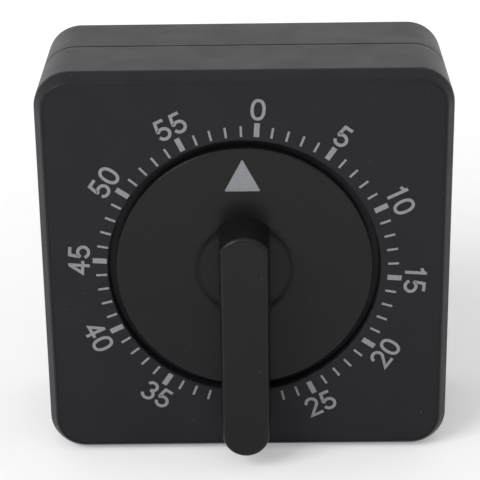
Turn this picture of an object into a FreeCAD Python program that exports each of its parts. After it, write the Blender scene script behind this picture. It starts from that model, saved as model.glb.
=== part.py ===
import FreeCAD, Part
import math
import os

# Square mechanical countdown timer, 60 minutes, in millimetres.
# X points right and Z up as seen from the front, and the dial faces -Y.
# The origin is the middle of the bottom of the box around the whole timer.
# A depth is measured from the panel plane and grows towards the back.
# A place is a pair (x, z) measured from the middle of the case's face.

# The case is built outwards from the movement: it is 68 wide and high, and 28.8 deep behind the panel
# Case outside
CASE_CORNER = 6.0
REAR_EDGE_ROUND = 0.8
RIM_WIDTH = 1.58
RIM_DEPTH = 2.1
RIM_RISE = 0.1
RIM_LAND = 0.25
RIM_LAND_ROUND = 0.8
RIM_EDGE_ROUND = 0.8

# Case walls and the joint between the two shells
WALL = 1.8
PANEL_WALL = 1.8
REAR_WALL = 1.8
SEAM_DEPTH = 15.3
SEAM_GAP = 0.3
TONGUE_LENGTH = 1.6
TONGUE_WALL = 0.85

# Dial, its well in the panel and the long lever
AXIS_X = -0.25
DIAL_RADIUS = 21.3
DIAL_THICKNESS = 1.8
DIAL_EDGE_ROUND = 0.3
DIAL_GROOVE = 1.3
DIAL_FLOOR_GAP = 0.5
OPENING_ROUND = 0.2
WELL_WALL = 1.4
DISH_RADIUS = 8.8
DISH_SLOPE = 1.8
DISH_DEPTH = 0.25
DIAL_HUB_RADIUS = 3.4
LEVER_WIDTH = 7.7
LEVER_TOP_REACH = 9.0
LEVER_POINTER_REACH = 30.8
LEVER_TOP_ROUND = 4.6
LEVER_HEIGHT = 8.4
LEVER_EDGE_ROUND = 0.7
LEVER_PANEL_GAP = 0.8
LEVER_DRAFT = 0.4
LEVER_BORE_DEPTH = 5.0

# Screws of the case, on the four corner posts
POST_INSET = 5.2
POST_PLATE_STEP = 1.5
POST_RADIUS = 3.2
POST_REAR_ROOM = 7.2
POST_HOLE_LENGTH = 10.0
SCREW_WELL_RADIUS = 3.0
SCREW_WELL_WALL = 1.1
SCREW_WELL_FLOOR = 1.5
CASE_SCREW_RADIUS = 1.25
CASE_SCREW_HEAD_RADIUS = 2.5
CASE_SCREW_HEAD = 1.6
CASE_SCREW_LENGTH = 9.0
CROSS_WIDTH = 0.8
CROSS_DEPTH = 0.8
CROSS_REACH_SHARE = 0.7
RIB_THICKNESS = 1.2
RIB_END_DEPTH = 12.0

# Slots in the rear wall that let the bell be heard
SLOT_WIDTH = 1.6
SLOT_PITCH = 3.8
SLOTS_PER_SIDE = 4
SLOT_SHORTEST = 12.4
SLOT_BOSS_GAP = 1.2

# Plates of the movement and what spaces them
PLATE_THICKNESS = 1.0
PLATE_EDGE = 1.5
PLATE_POST_GAP = 1.4
PILLAR_INSET = 4.0
PILLAR_RADIUS = 1.6
PLATE_SCREW_RADIUS = 0.95
PLATE_SCREW_HEAD_RADIUS = 1.9
PLATE_SCREW_HEAD = 0.8
PLATE_SCREW_LENGTH = 3.0
MOUNT_BOSS_RADIUS = 2.4
MOUNT_BOSS_HEIGHT = 2.0
MOUNT_PLACE_RADIUS = 21.0
MOUNT_ANGLES = (60.0, 182.0, 300.0)
MOUNT_SCREW_LENGTH = 3.2

# Clearances
RUNNING_FIT = 0.05
SCREW_FIT = 0.05
SEAT_FIT = 0.02
END_SHAKE = 0.1
LAYER_GAP = 0.3
RATCHET_GAP = 0.6
SPRING_GAP = 0.6
CAM_GAP = 0.4
COLLET_GAP = 0.2
BELL_GAP = 0.8

# Arbors of the train
ARBOR_RADIUS = 0.8
PIVOT_RADIUS = 0.45
MAIN_ARBOR_RADIUS = 2.2
MAIN_SPINDLE_RADIUS = 1.75
MAIN_PIVOT_RADIUS = 1.2
HUB_HOLE_GAP = 0.6

# Going train
MAIN_MODULE = 0.5
MAIN_TEETH = 64
TRAIN_MODULE = 0.4
SECOND_TEETH = 48
THIRD_TEETH = 45
PINION_LEAVES = 8
WHEEL_ADDENDUM = 0.85
WHEEL_DEDENDUM = 1.25
LEAF_ADDENDUM = 0.65
LEAF_DEDENDUM = 1.2
WHEEL_TOOTH_SHARE = 0.44
LEAF_SHARE = 0.38
TIP_SHARE = 0.45
ROOT_SHARE = 1.35
SAW_FALL = 1.15
MAIN_WHEEL_THICKNESS = 0.8
WHEEL_THICKNESS = 0.6
PINION_OVERHANG = 0.3
SECOND_ARBOR_ANGLE = 200.0
COLLET_RADIUS = 1.8
COLLET_LENGTH = 0.7
MAIN_WHEEL_HOLES = 4
MAIN_WHEEL_HOLE_RADIUS = 2.4
MAIN_WHEEL_HOLE_REACH = 9.0
TRAIN_WHEEL_HOLES = 3
TRAIN_WHEEL_HOLE_RADIUS = 2.0
TRAIN_WHEEL_HOLE_REACH = 5.2

# Escapement
ESCAPE_TEETH = 15
ESCAPE_TIP_RADIUS = 6.5
ESCAPE_ROOT_RADIUS = 5.2
ESCAPE_LEAN = 9.0
PALLET_DISTANCE = 9.0
PALLET_SPAN = 60.0
PALLET_PIN_RADIUS = 0.35
PALLET_PIN_GAP = 0.6
PALLET_PLATE_GAP = 0.6
PALLET_PLATE_THICKNESS = 0.6
PALLET_ARM_HALF_WIDTH = 0.8
BALANCE_REACH = 5.6
BALANCE_WEIGHT_RADIUS = 1.5
BALANCE_BAR_HALF_WIDTH = 0.7
BALANCE_THICKNESS = 0.8

# Winding: ratchet, click and mainspring
RATCHET_TEETH = 16
RATCHET_TIP_RADIUS = 5.0
RATCHET_ROOT_RADIUS = 4.2
RATCHET_LEAN = 11.0
RATCHET_THICKNESS = 0.6
CLICK_PIVOT_RADIUS = 9.5
CLICK_PIVOT_ANGLE = 45.0
CLICK_TIP_ANGLE = 0.0
CLICK_STUD_RADIUS = 0.7
CLICK_HALF_WIDTH = 1.0
CLICK_TIP_HALF_WIDTH = 0.35
SPRING_INNER_RADIUS = 2.9
SPRING_THICKNESS = 0.35
SPRING_PITCH = 1.9
SPRING_HALF_TURNS = 10
SPRING_WIDTH = 5.0
SPRING_POST_RADIUS = 0.9

# Bell on the rear wall
BELL_RADIUS = 19.5
BELL_HEIGHT = 5.9
BELL_SHOULDER = 3.6
BELL_SHOULDER_FACETS = 2
BELL_WALL = 0.8
BELL_BOSS_RADIUS = 3.5
BELL_BOSS_HEIGHT = 1.4
BELL_SCREW_RADIUS = 1.0
BELL_SCREW_HEAD_RADIUS = 2.2
BELL_SCREW_HEAD = 1.0
BELL_SCREW_LENGTH = 2.4

# Strike work
CAM_RADIUS = 7.0
CAM_NOTCH_WIDTH = 2.4
CAM_NOTCH_DEPTH = 1.6
CAM_THICKNESS = 0.8
STRIKE_ARBOR_ANGLE = 320.0
STAR_TEETH = 8
STAR_TIP_RADIUS = 6.0
STAR_ROOT_RADIUS = 4.2
STAR_LEAN = 8.0
STAR_THICKNESS = 0.7
HAMMER_PIVOT_GAP = 4.5
HAMMER_PIVOT_ANGLE = 285.0
HAMMER_TAIL_HALF_WIDTH = 0.7
HAMMER_ARM_HALF_WIDTH = 0.7
HAMMER_ARM_THICKNESS = 0.8
HAMMER_HUB_RADIUS = 1.5
HAMMER_HEAD_RADIUS = 1.8
HAMMER_HEAD_LENGTH = 2.6
HAMMER_HEAD_ANGLE = 330.0
HAMMER_BELL_GAP = 1.1
STOP_PIVOT_ANGLE = 255.0
STOP_NOSE_ANGLE = 310.0
STOP_NOSE_RADIUS = 0.8
STOP_HUB_RADIUS = 1.8
STOP_CATCH_REACH = 6.0
STOP_LEVER_THICKNESS = 0.6
TRIP_GAP = 0.35

# Values worked out from the sizes above
SCREW_HOLE_RADIUS = PLATE_SCREW_RADIUS + SCREW_FIT
ARBOR_HOLE_RADIUS = PIVOT_RADIUS + RUNNING_FIT
OPENING_RADIUS = DIAL_RADIUS + DIAL_GROOVE

# Depths of the layers, from the panel to the rear wall
WELL_DEPTH = DIAL_THICKNESS + DIAL_FLOOR_GAP
WELL_BACK = WELL_DEPTH + WELL_WALL
FRONT_PLATE_DEPTH = WELL_BACK + MOUNT_BOSS_HEIGHT
FRONT_PLATE_BACK = FRONT_PLATE_DEPTH + PLATE_THICKNESS
DIAL_HUB_END = FRONT_PLATE_DEPTH - LAYER_GAP
RATCHET_DEPTH = FRONT_PLATE_BACK + RATCHET_GAP
MAIN_WHEEL_DEPTH = RATCHET_DEPTH + RATCHET_THICKNESS
MAIN_WHEEL_BACK = MAIN_WHEEL_DEPTH + MAIN_WHEEL_THICKNESS
SPRING_DEPTH = MAIN_WHEEL_BACK + SPRING_GAP
SPRING_BACK = SPRING_DEPTH + SPRING_WIDTH
CAM_DEPTH = SPRING_BACK + CAM_GAP
STAR_DEPTH = CAM_DEPTH + CAM_THICKNESS + LAYER_GAP
SECOND_WHEEL_DEPTH = CAM_DEPTH
SECOND_WHEEL_BACK = SECOND_WHEEL_DEPTH + WHEEL_THICKNESS
THIRD_WHEEL_DEPTH = SECOND_WHEEL_BACK + COLLET_LENGTH + COLLET_GAP
THIRD_WHEEL_BACK = THIRD_WHEEL_DEPTH + WHEEL_THICKNESS
PALLET_PLATE_DEPTH = SECOND_WHEEL_BACK + PALLET_PLATE_GAP
PALLET_PLATE_BACK = PALLET_PLATE_DEPTH + PALLET_PLATE_THICKNESS
BALANCE_DEPTH = PALLET_PLATE_BACK + LAYER_GAP
BALANCE_BACK = BALANCE_DEPTH + BALANCE_THICKNESS
LAST_LAYER_BACK = max(THIRD_WHEEL_BACK + COLLET_LENGTH, BALANCE_BACK, STAR_DEPTH + STAR_THICKNESS)
BACK_PLATE_DEPTH = LAST_LAYER_BACK + LAYER_GAP
BACK_PLATE_BACK = BACK_PLATE_DEPTH + PLATE_THICKNESS
HAMMER_HEAD_DEPTH = BACK_PLATE_BACK + LAYER_GAP
HAMMER_ARM_DEPTH = HAMMER_HEAD_DEPTH + HAMMER_HEAD_LENGTH
BELL_RIM_DEPTH = BACK_PLATE_BACK + BELL_GAP
BELL_CROWN_DEPTH = BELL_RIM_DEPTH + BELL_HEIGHT
REAR_INSIDE = BELL_CROWN_DEPTH + BELL_BOSS_HEIGHT
CASE_DEPTH = REAR_INSIDE + REAR_WALL
POST_END_DEPTH = REAR_INSIDE - POST_REAR_ROOM
PANEL_Y = (LEVER_HEIGHT - CASE_DEPTH) / 2

# Half sizes across the face, from the bell out to the case
HAMMER_PIVOT_RADIUS = BELL_RADIUS + HAMMER_PIVOT_GAP
PLATE_HALF_SIZE = HAMMER_PIVOT_RADIUS + PLATE_EDGE
PILLAR_PLACE = PLATE_HALF_SIZE - PILLAR_INSET
POST_PLACE = PLATE_HALF_SIZE + POST_PLATE_STEP
INNER_HALF = POST_PLACE + POST_INSET
CASE_HALF = INNER_HALF + WALL
PANEL_HALF = CASE_HALF - RIM_WIDTH
INNER_CORNER = CASE_CORNER - WALL
POST_CLEAR_REACH = POST_PLACE * math.sqrt(2) - POST_RADIUS - PLATE_POST_GAP
PLATE_CORNER = (PLATE_HALF_SIZE * math.sqrt(2) - POST_CLEAR_REACH) / (math.sqrt(2) - 1)
FRONT_SEAM = SEAM_DEPTH - SEAM_GAP / 2
REAR_SEAM = SEAM_DEPTH + SEAM_GAP / 2
TONGUE_END = SEAM_DEPTH + TONGUE_LENGTH
AXIS = (AXIS_X, 0.0)


# Places

def polar(radius, angle, about=AXIS):
    """The place at a radius and an angle in degrees, counted from +x towards +z."""
    turn = math.radians(angle)
    return (about[0] + radius * math.cos(turn), about[1] + radius * math.sin(turn))


def distance(a, b):
    return math.hypot(b[0] - a[0], b[1] - a[1])


def bearing(a, b):
    """The angle in degrees at which place b is seen from place a."""
    return math.degrees(math.atan2(b[1] - a[1], b[0] - a[0]))


def mesh_distance(module, wheel_teeth, leaves=PINION_LEAVES):
    return module * (wheel_teeth + leaves) / 2


def along_circle(radius, start_angle, chord):
    """The angle on a circle about the axis that lies one chord before a start angle."""
    return start_angle - 2 * math.degrees(math.asin(chord / (2 * radius)))


def corners(half):
    """Four places, one in each corner of a square about the middle of the face."""
    return [(x, z) for x in (-half, half) for z in (-half, half)]


# The arbors of the train stand on one circle, so that all clear the main wheel
TRAIN_RADIUS = mesh_distance(MAIN_MODULE, MAIN_TEETH)
SECOND_MESH = mesh_distance(TRAIN_MODULE, SECOND_TEETH)
THIRD_MESH = mesh_distance(TRAIN_MODULE, THIRD_TEETH)
THIRD_ARBOR_ANGLE = along_circle(TRAIN_RADIUS, SECOND_ARBOR_ANGLE, SECOND_MESH)
ESCAPE_ARBOR_ANGLE = along_circle(TRAIN_RADIUS, THIRD_ARBOR_ANGLE, THIRD_MESH)
PALLET_ARBOR_ANGLE = along_circle(TRAIN_RADIUS, ESCAPE_ARBOR_ANGLE, PALLET_DISTANCE)
SECOND_PLACE = polar(TRAIN_RADIUS, SECOND_ARBOR_ANGLE)
THIRD_PLACE = polar(TRAIN_RADIUS, THIRD_ARBOR_ANGLE)
ESCAPE_PLACE = polar(TRAIN_RADIUS, ESCAPE_ARBOR_ANGLE)
PALLET_PLACE = polar(TRAIN_RADIUS, PALLET_ARBOR_ANGLE)
STRIKE_PLACE = polar(TRAIN_RADIUS, STRIKE_ARBOR_ANGLE)
HAMMER_PLACE = polar(HAMMER_PIVOT_RADIUS, HAMMER_PIVOT_ANGLE)
STOP_PLACE = polar(TRAIN_RADIUS, STOP_PIVOT_ANGLE)
TRAIN_PLACES = (SECOND_PLACE, THIRD_PLACE, ESCAPE_PLACE, PALLET_PLACE, STRIKE_PLACE, STOP_PLACE)
MOUNT_PLACES = [polar(MOUNT_PLACE_RADIUS, angle) for angle in MOUNT_ANGLES]
PILLAR_PLACES = corners(PILLAR_PLACE)
POST_PLACES = corners(POST_PLACE)


# Basic solids

def point(place, depth):
    """A point of the part's frame from a place on the face and a depth."""
    return FreeCAD.Vector(place[0], PANEL_Y + depth, CASE_HALF + place[1])


def cylinder(radius, front, back, place=AXIS):
    return Part.makeCylinder(radius, back - front, point(place, front), FreeCAD.Vector(0, 1, 0))


def cylinders(radius, front, back, places):
    return [cylinder(radius, front, back, place) for place in places]


def tube(outer, inner, front, back, place=AXIS):
    return cylinder(outer, front, back, place).cut(cylinder(inner, front, back, place))


def extrude(wire, front, back):
    """A solid from a closed wire that lies at the front depth."""
    return Part.Face(wire).extrude(FreeCAD.Vector(0, back - front, 0))


def polygon(places, front, back):
    points = [point(place, front) for place in places]
    return extrude(Part.makePolygon(points + points[:1]), front, back)


def line(a, b, depth):
    return Part.makeLine(point(a, depth), point(b, depth))


def arc(a, middle, b, depth):
    return Part.Arc(point(a, depth), point(middle, depth), point(b, depth)).toShape()


def square_wire(half, corner, depth, middle=(0.0, 0.0)):
    """A square outline with round corners."""
    edges = []
    straight = half - corner
    for quarter in range(4):
        turn = 90 * quarter
        centre = polar(straight * math.sqrt(2), turn + 45, middle)
        start = polar(corner, turn, centre)
        top = polar(corner, turn + 45, centre)
        end = polar(corner, turn + 90, centre)
        following = polar(corner, turn + 90, polar(straight * math.sqrt(2), turn + 135, middle))
        edges.append(arc(start, top, end, depth))
        edges.append(line(end, following, depth))
    return Part.Wire(edges)


def square_block(half, corner, front, back, middle=(0.0, 0.0)):
    return extrude(square_wire(half, corner, front, middle), front, back)


def bar(start, end, start_radius, end_radius, front, back):
    """A flat bar between two places, with a round end at each and tangent sides."""
    turn = bearing(start, end)
    lean = math.degrees(math.acos((start_radius - end_radius) / distance(start, end)))
    start_left = polar(start_radius, turn + lean, start)
    start_right = polar(start_radius, turn - lean, start)
    end_left = polar(end_radius, turn + lean, end)
    end_right = polar(end_radius, turn - lean, end)
    edges = [
        arc(start_left, polar(start_radius, turn + 180, start), start_right, front),
        line(start_right, end_right, front),
        arc(end_right, polar(end_radius, turn, end), end_left, front),
        line(end_left, start_left, front),
    ]
    return extrude(Part.Wire(edges), front, back)


def turned(profile, place=AXIS):
    """A solid of revolution from (radius, depth) corners.

    A corner with a third value is the middle of an arc between its neighbours.
    """
    corners_left = profile + profile[:1]
    points = [point((place[0] + c[0], place[1]), c[1]) for c in corners_left]
    edges = []
    index = 0
    while index < len(profile):
        is_arc = len(corners_left[index + 1]) == 3
        if is_arc:
            edges.append(Part.Arc(points[index], points[index + 1], points[index + 2]).toShape())
            index += 2
        else:
            edges.append(Part.makeLine(points[index], points[index + 1]))
            index += 1
    face = Part.Face(Part.Wire(edges))
    return face.revolve(point(place, 0), FreeCAD.Vector(0, 1, 0), 360)


def round_middle(centre, radius, angle):
    """The middle corner of an arc in a turned profile."""
    turn = math.radians(angle)
    return (centre[0] + radius * math.cos(turn), centre[1] + radius * math.sin(turn), "arc")


def joined(shapes):
    whole = shapes[0]
    for shape in shapes[1:]:
        whole = whole.fuse(shape)
    return whole.removeSplitter()


def cut_all(shape, tools):
    for tool in tools:
        shape = shape.cut(tool)
    return shape


def screw(place, seat, length, radius, head_radius, head, towards=-1):
    """A screw whose head sits on the seat depth; its shank goes to the front unless towards is 1."""
    shank_end = seat + towards * length
    top = seat - towards * head
    shank = cylinder(radius, min(seat, shank_end), max(seat, shank_end), place)
    cap = cylinder(head_radius, min(seat, top), max(seat, top), place)
    return joined([cap, shank])


# Toothed wheels

def spur_places(module, teeth, addendum, dedendum, share, turn, place):
    """The outline of a spur wheel with straight flanks and one tooth centred on the turn angle.

    share is the tooth's part of the pitch where the pitch circle crosses it.
    """
    pitch_radius = module * teeth / 2
    tip = pitch_radius + addendum * module
    root = pitch_radius - dedendum * module
    pitch_angle = 360 / teeth
    half_tooth = pitch_angle * share / 2
    half_tip = half_tooth * TIP_SHARE
    half_root = half_tooth * ROOT_SHARE
    places = []
    for tooth in range(teeth):
        middle = turn + tooth * pitch_angle
        places.append(polar(root, middle - half_root, place))
        places.append(polar(tip, middle - half_tip, place))
        places.append(polar(tip, middle + half_tip, place))
        places.append(polar(root, middle + half_root, place))
    return places


def ratchet_places(teeth, tip, root, lean, place, turn=0.0):
    """The outline of a wheel with saw teeth that lean one way."""
    places = []
    for tooth in range(teeth):
        middle = turn + tooth * 360 / teeth
        places.append(polar(root, middle, place))
        places.append(polar(tip, middle + lean, place))
        places.append(polar(root, middle + lean * SAW_FALL, place))
    return places


def light_holes(count, radius, reach, front, back, turn, place):
    """Round holes in a wheel's web, evenly spaced about its axis."""
    middles = [polar(reach, turn + hole * 360 / count, place) for hole in range(count)]
    return cylinders(radius, front, back, middles)


def spur_outline(module, teeth, turn, place):
    return spur_places(module, teeth, WHEEL_ADDENDUM, WHEEL_DEDENDUM, WHEEL_TOOTH_SHARE, turn, place)


def train_wheel(teeth, front, turn, place):
    """A wheel of the going train, with a collet behind it that holds it on its arbor."""
    back = front + WHEEL_THICKNESS
    wheel = polygon(spur_outline(TRAIN_MODULE, teeth, turn, place), front, back)
    wheel = joined([wheel, cylinder(COLLET_RADIUS, back, back + COLLET_LENGTH, place)])
    holes = light_holes(
        TRAIN_WHEEL_HOLES,
        TRAIN_WHEEL_HOLE_RADIUS,
        TRAIN_WHEEL_HOLE_REACH,
        front,
        back,
        turn,
        place,
    )
    return cut_all(wheel, holes + [cylinder(ARBOR_RADIUS + SEAT_FIT, front, back + COLLET_LENGTH, place)])


def train_arbor(place):
    """A plain arbor with a pivot at each end that runs in the two plates."""
    body = cylinder(ARBOR_RADIUS, FRONT_PLATE_BACK + END_SHAKE, BACK_PLATE_DEPTH - END_SHAKE, place)
    pivots = cylinder(PIVOT_RADIUS, FRONT_PLATE_DEPTH + END_SHAKE, BACK_PLATE_BACK - END_SHAKE, place)
    return joined([body, pivots])


def pinion(module, front, back, turn, place):
    """An arbor with pinion leaves cut on it."""
    outline = spur_places(module, PINION_LEAVES, LEAF_ADDENDUM, LEAF_DEDENDUM, LEAF_SHARE, turn, place)
    return joined([polygon(outline, front, back), train_arbor(place)])


def gap_towards(place, other):
    """The turn that puts the middle of a pinion's gap on the line to its wheel."""
    return bearing(place, other) + 180 / PINION_LEAVES


# Case

def front_shell():
    rim_inner = PANEL_HALF + RIM_LAND
    rim_inner_corner = CASE_CORNER - (CASE_HALF - rim_inner)
    slope = Part.makeLoft(
        [square_wire(rim_inner, rim_inner_corner, -RIM_RISE), square_wire(CASE_HALF, CASE_CORNER, RIM_DEPTH)],
        True,
        True,
    )
    sides = square_block(CASE_HALF, CASE_CORNER, RIM_DEPTH, FRONT_SEAM)
    outside = joined([slope, sides])
    for depth, radius in ((-RIM_RISE, RIM_LAND_ROUND), (RIM_DEPTH, RIM_EDGE_ROUND)):
        edges = [edge for edge in outside.Edges if lies_at_depth(edge, depth)]
        outside = outside.makeFillet(radius, edges)
    tongue_half = INNER_HALF + TONGUE_WALL
    tongue = square_block(tongue_half, INNER_CORNER + TONGUE_WALL, FRONT_SEAM, TONGUE_END)
    pocket = square_block(PANEL_HALF, CASE_CORNER - RIM_WIDTH, -2 * RIM_RISE, 0)
    inside = square_block(INNER_HALF, INNER_CORNER, PANEL_WALL, TONGUE_END)
    shell = cut_all(joined([outside, tongue]), [pocket, inside])
    additions = [cylinder(OPENING_RADIUS + WELL_WALL, 0, WELL_BACK)]
    additions += cylinders(MOUNT_BOSS_RADIUS, WELL_BACK, FRONT_PLATE_DEPTH, MOUNT_PLACES)
    additions += cylinders(POST_RADIUS, PANEL_WALL, POST_END_DEPTH, POST_PLACES)
    additions += [post_rib(place, across) for place in POST_PLACES for across in (True, False)]
    shell = joined([shell] + additions)
    rounding = (OPENING_RADIUS + OPENING_ROUND, OPENING_ROUND)
    well = turned([
        (0, -RIM_RISE),
        (OPENING_RADIUS + OPENING_ROUND, -RIM_RISE),
        (OPENING_RADIUS + OPENING_ROUND, 0),
        round_middle(rounding, OPENING_ROUND, 225),
        (OPENING_RADIUS, OPENING_ROUND),
        (OPENING_RADIUS, WELL_DEPTH),
        (0, WELL_DEPTH),
    ])
    holes = [well, cylinder(DIAL_HUB_RADIUS + HUB_HOLE_GAP, 0, WELL_BACK)]
    mount_hole_front = FRONT_PLATE_DEPTH - MOUNT_SCREW_LENGTH
    holes += cylinders(SCREW_HOLE_RADIUS, mount_hole_front, FRONT_PLATE_DEPTH, MOUNT_PLACES)
    post_hole_front = POST_END_DEPTH - POST_HOLE_LENGTH
    holes += cylinders(CASE_SCREW_RADIUS + SCREW_FIT, post_hole_front, POST_END_DEPTH, POST_PLACES)
    return cut_all(shell, holes)


def lies_at_depth(edge, depth):
    box = edge.BoundBox
    return abs(box.YMin - PANEL_Y - depth) < 1e-4 and abs(box.YMax - PANEL_Y - depth) < 1e-4


def post_rib(place, across):
    """A rib from a corner post to the side wall or to the top or bottom wall."""
    side_x = math.copysign(1, place[0])
    side_z = math.copysign(1, place[1])
    half = RIB_THICKNESS / 2
    outer = INNER_HALF + WALL / 2
    if across:
        places = [
            (place[0], place[1] - half),
            (side_x * outer, place[1] - half),
            (side_x * outer, place[1] + half),
            (place[0], place[1] + half),
        ]
    else:
        places = [
            (place[0] - half, place[1]),
            (place[0] - half, side_z * outer),
            (place[0] + half, side_z * outer),
            (place[0] + half, place[1]),
        ]
    return polygon(places, PANEL_WALL, RIB_END_DEPTH)


def sound_slots():
    """Upright slots in the rear wall, in a round field about the bell's boss."""
    first = BELL_BOSS_RADIUS + SLOT_BOSS_GAP + SLOT_WIDTH / 2
    last = first + (SLOTS_PER_SIDE - 1) * SLOT_PITCH
    field_radius = math.hypot(last, SLOT_SHORTEST / 2)
    slots = []
    for side in (-1, 1):
        for step in range(SLOTS_PER_SIDE):
            x = side * (first + step * SLOT_PITCH)
            half_length = math.sqrt(field_radius ** 2 - x ** 2)
            places = [
                (AXIS_X + x - SLOT_WIDTH / 2, -half_length),
                (AXIS_X + x + SLOT_WIDTH / 2, -half_length),
                (AXIS_X + x + SLOT_WIDTH / 2, half_length),
                (AXIS_X + x - SLOT_WIDTH / 2, half_length),
            ]
            slots.append(polygon(places, REAR_INSIDE, CASE_DEPTH))
    return slots


def rear_shell():
    outside = square_block(CASE_HALF, CASE_CORNER, REAR_SEAM, CASE_DEPTH)
    back_edges = [edge for edge in outside.Edges if lies_at_depth(edge, CASE_DEPTH)]
    outside = outside.makeFillet(REAR_EDGE_ROUND, back_edges)
    lip_half = INNER_HALF + TONGUE_WALL + RUNNING_FIT
    lip_corner = INNER_CORNER + TONGUE_WALL + RUNNING_FIT
    shell = cut_all(outside, [
        square_block(INNER_HALF, INNER_CORNER, REAR_SEAM, REAR_INSIDE),
        square_block(lip_half, lip_corner, REAR_SEAM, TONGUE_END),
    ])
    seat = POST_END_DEPTH + SCREW_WELL_FLOOR
    additions = cylinders(SCREW_WELL_RADIUS + SCREW_WELL_WALL, POST_END_DEPTH, REAR_INSIDE, POST_PLACES)
    additions.append(cylinder(BELL_BOSS_RADIUS, BELL_CROWN_DEPTH, REAR_INSIDE))
    shell = joined([shell] + additions)
    holes = cylinders(SCREW_WELL_RADIUS, seat, CASE_DEPTH, POST_PLACES)
    holes += cylinders(CASE_SCREW_RADIUS + SCREW_FIT, POST_END_DEPTH, seat, POST_PLACES)
    bell_hole_end = BELL_CROWN_DEPTH - BELL_WALL + BELL_SCREW_LENGTH + SCREW_FIT
    holes.append(cylinder(BELL_SCREW_RADIUS + SCREW_FIT, BELL_CROWN_DEPTH, bell_hole_end))
    return cut_all(shell, holes + sound_slots())


def cross_recess(place, top):
    """The cross in a case screw's head, which opens to the back at the top depth."""
    half_length = CASE_SCREW_HEAD_RADIUS * CROSS_REACH_SHARE
    half_width = CROSS_WIDTH / 2
    arms = []
    for half_x, half_z in ((half_length, half_width), (half_width, half_length)):
        places = [
            (place[0] - half_x, place[1] - half_z),
            (place[0] + half_x, place[1] - half_z),
            (place[0] + half_x, place[1] + half_z),
            (place[0] - half_x, place[1] + half_z),
        ]
        arms.append(polygon(places, top - CROSS_DEPTH, top))
    return joined(arms)


def case_screws():
    seat = POST_END_DEPTH + SCREW_WELL_FLOOR
    screws = []
    for place in POST_PLACES:
        plain = screw(
            place,
            seat,
            CASE_SCREW_LENGTH,
            CASE_SCREW_RADIUS,
            CASE_SCREW_HEAD_RADIUS,
            CASE_SCREW_HEAD,
        )
        screws.append(plain.cut(cross_recess(place, seat + CASE_SCREW_HEAD)))
    return screws


# Plates

def movement_plate(front, main_hole):
    plate = square_block(PLATE_HALF_SIZE, PLATE_CORNER, front, front + PLATE_THICKNESS)
    back = front + PLATE_THICKNESS
    holes = [cylinder(main_hole, front, back)]
    holes += cylinders(ARBOR_HOLE_RADIUS, front, back, TRAIN_PLACES)
    return cut_all(plate, holes)


def front_plate():
    holes = cylinders(SCREW_HOLE_RADIUS, FRONT_PLATE_DEPTH, FRONT_PLATE_BACK, MOUNT_PLACES)
    holes.append(cylinder(ARBOR_HOLE_RADIUS, FRONT_PLATE_DEPTH, FRONT_PLATE_BACK, HAMMER_PLACE))
    return cut_all(movement_plate(FRONT_PLATE_DEPTH, MAIN_SPINDLE_RADIUS + RUNNING_FIT), holes)


def back_plate():
    holes = cylinders(SCREW_HOLE_RADIUS, BACK_PLATE_DEPTH, BACK_PLATE_BACK, PILLAR_PLACES)
    holes.append(cylinder(ARBOR_RADIUS + RUNNING_FIT, BACK_PLATE_DEPTH, BACK_PLATE_BACK, HAMMER_PLACE))
    holes.append(cylinder(SPRING_POST_RADIUS + SEAT_FIT, BACK_PLATE_DEPTH, BACK_PLATE_BACK, spring_end()))
    return cut_all(movement_plate(BACK_PLATE_DEPTH, MAIN_PIVOT_RADIUS + RUNNING_FIT), holes)


def plate_pillars():
    """Pillars riveted to the front plate, with a blind hole for the screw of the back plate."""
    pillars = []
    hole_front = BACK_PLATE_BACK - PLATE_SCREW_LENGTH - SCREW_FIT
    for place in PILLAR_PLACES:
        body = cylinder(PILLAR_RADIUS, FRONT_PLATE_BACK, BACK_PLATE_DEPTH, place)
        pillars.append(body.cut(cylinder(SCREW_HOLE_RADIUS, hole_front, BACK_PLATE_DEPTH, place)))
    return pillars


def pillar_screws():
    return [
        screw(
            place,
            BACK_PLATE_BACK,
            PLATE_SCREW_LENGTH,
            PLATE_SCREW_RADIUS,
            PLATE_SCREW_HEAD_RADIUS,
            PLATE_SCREW_HEAD,
        )
        for place in PILLAR_PLACES
    ]


def mount_screws():
    return [
        screw(
            place,
            FRONT_PLATE_BACK,
            MOUNT_SCREW_LENGTH + PLATE_THICKNESS - SCREW_FIT,
            PLATE_SCREW_RADIUS,
            PLATE_SCREW_HEAD_RADIUS,
            PLATE_SCREW_HEAD,
        )
        for place in MOUNT_PLACES
    ]


# Dial and lever

def soft_step(start, end):
    """The corners of a turned profile that swings from one level to the next in two equal arcs."""
    middle = ((start[0] + end[0]) / 2, (start[1] + end[1]) / 2)
    reach = middle[0] - start[0]
    fall = middle[1] - start[1]
    half_turn = math.atan2(abs(fall), abs(reach))
    radius = (reach ** 2 + fall ** 2) / (2 * abs(fall))
    side = math.copysign(radius * math.sin(half_turn), reach)
    rise = math.copysign(radius * (1 - math.cos(half_turn)), fall)
    return [
        start,
        (start[0] + side, start[1] + rise, "arc"),
        middle,
        (end[0] - side, end[1] - rise, "arc"),
        end,
    ]


def dial_plate():
    edge_centre = (DIAL_RADIUS - DIAL_EDGE_ROUND, DIAL_EDGE_ROUND)
    bore = MAIN_SPINDLE_RADIUS + SEAT_FIT
    profile = [(bore, DISH_DEPTH)]
    profile += soft_step((DISH_RADIUS - DISH_SLOPE, DISH_DEPTH), (DISH_RADIUS, 0))
    profile += [
        (DIAL_RADIUS - DIAL_EDGE_ROUND, 0),
        round_middle(edge_centre, DIAL_EDGE_ROUND, -45),
        (DIAL_RADIUS, DIAL_EDGE_ROUND),
        (DIAL_RADIUS, DIAL_THICKNESS),
        (DIAL_HUB_RADIUS, DIAL_THICKNESS),
        (DIAL_HUB_RADIUS, DIAL_HUB_END),
        (bore, DIAL_HUB_END),
    ]
    return turned(profile)


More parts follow.
